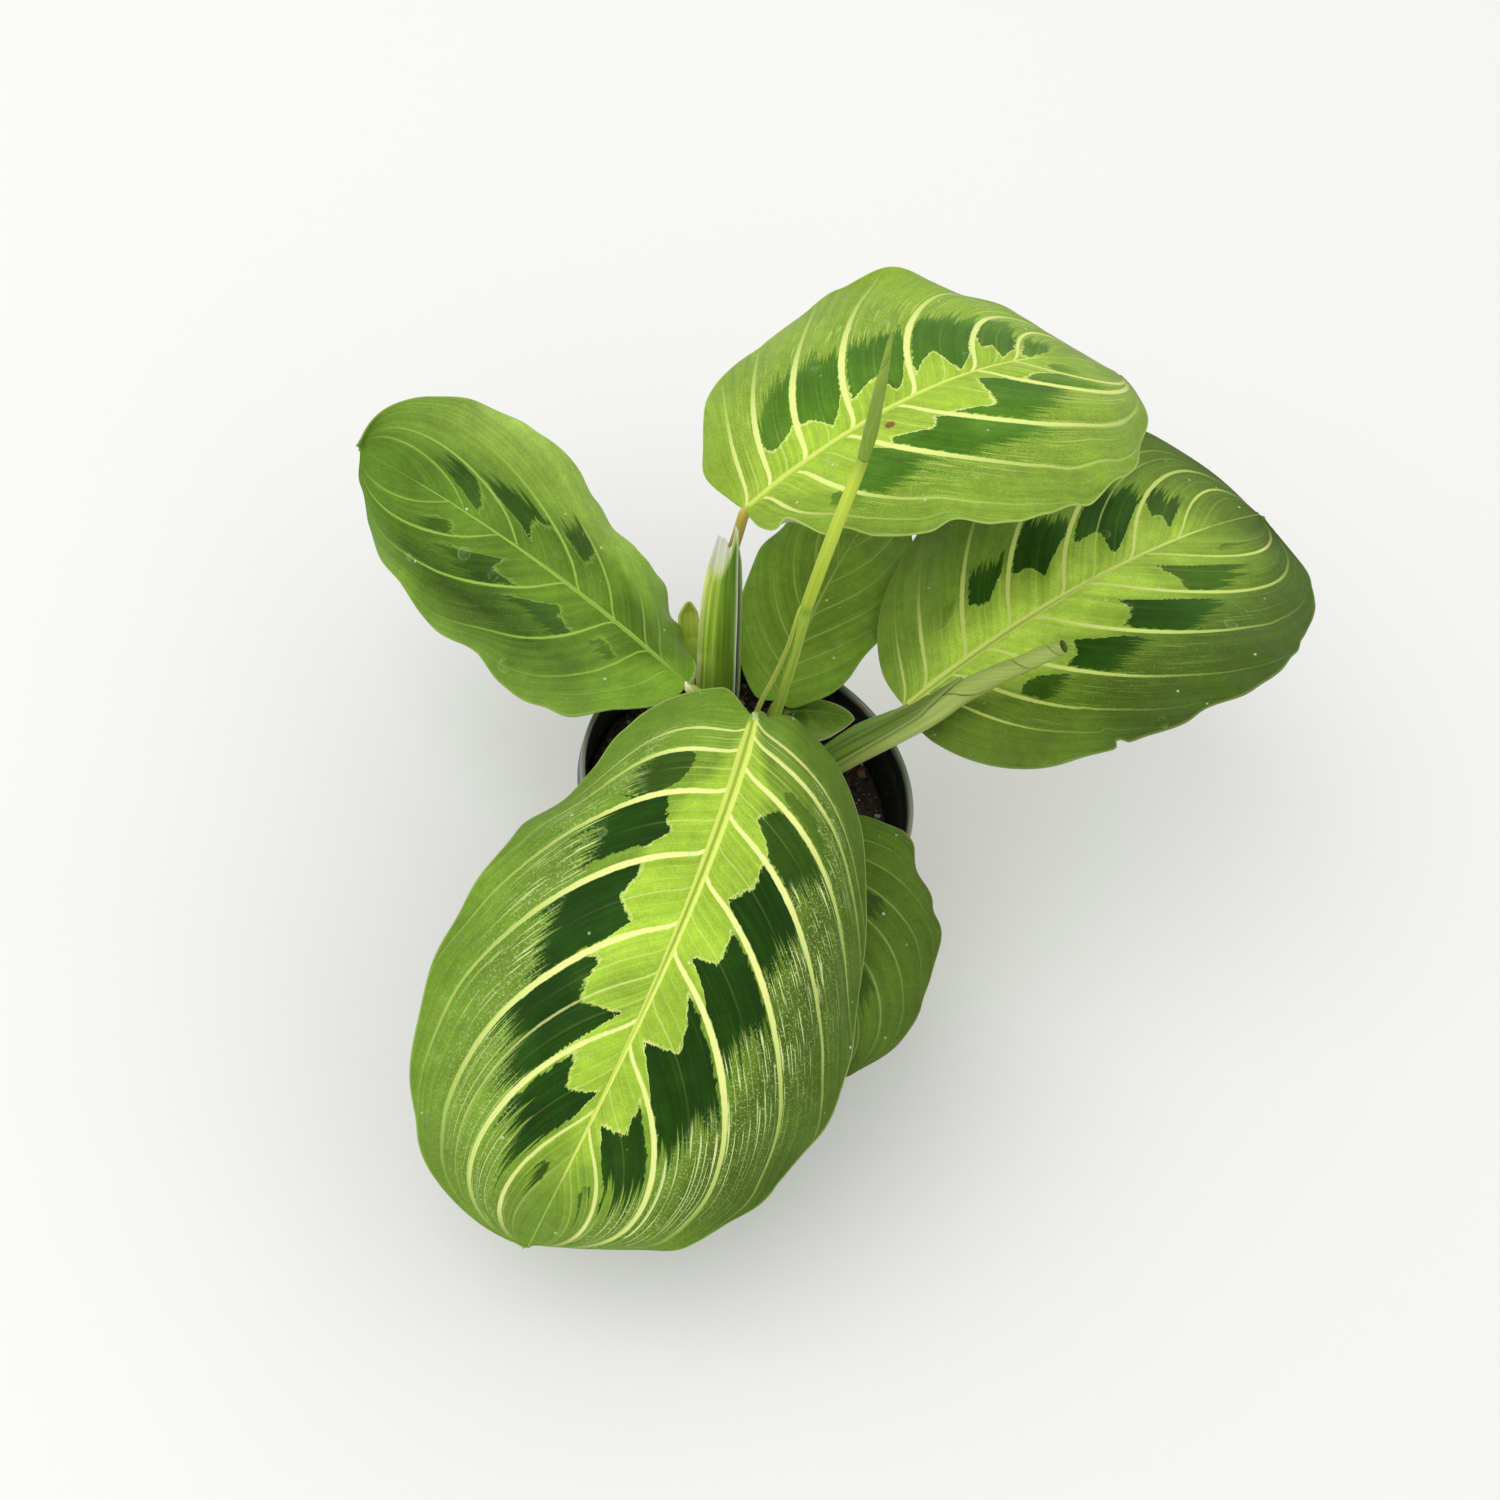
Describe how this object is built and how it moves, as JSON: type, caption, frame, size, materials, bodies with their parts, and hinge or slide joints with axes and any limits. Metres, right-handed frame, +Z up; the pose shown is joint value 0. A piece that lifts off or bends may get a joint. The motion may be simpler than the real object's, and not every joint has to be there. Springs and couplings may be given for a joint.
{
  "type": "potted prayer plant",
  "caption": "Young prayer plant with broad patterned leaves on sheathed stalks and rolled new leaves, growing in soil in a small round tapered nursery pot.",
  "frame": {"origin": "the middle of the pot's base, on the surface it stands on", "axes": "+Z up along the pot's axis; the largest leaf hangs over the -Y side, the tall upper leaf and the leaf beside it reach towards +Y, and the narrow leaf points to -X"},
  "size_m": [0.1857, 0.1963, 0.1636],
  "materials": {
    "pot_plastic": "satin",
    "potting_soil": "matte",
    "leaf_patterned": "satin",
    "leaf_plain": "satin",
    "leaf_stalk": "satin",
    "leaf_rolled": "satin"
  },
  "bodies": {
    "root": {"pot": "pot_plastic", "soil": "potting_soil", "leaf_front": "leaf_patterned", "leaf_upper": "leaf_patterned", "leaf_right": "leaf_patterned", "leaf_left": "leaf_patterned", "leaf_back": "leaf_plain", "leaf_lower": "leaf_plain", "leaf_small": "leaf_plain", "stalk_front": "leaf_stalk", "stalk_upper": "leaf_stalk", "stalk_right": "leaf_stalk", "stalk_left": "leaf_stalk", "stalk_back": "leaf_stalk", "stalk_lower": "leaf_stalk", "stalk_small": "leaf_stalk", "stalk_new": "leaf_stalk", "scale_left": "leaf_stalk", "leaf_rolled_tall": "leaf_rolled", "leaf_rolled_open": "leaf_rolled"}
  },
  "joints": []
}
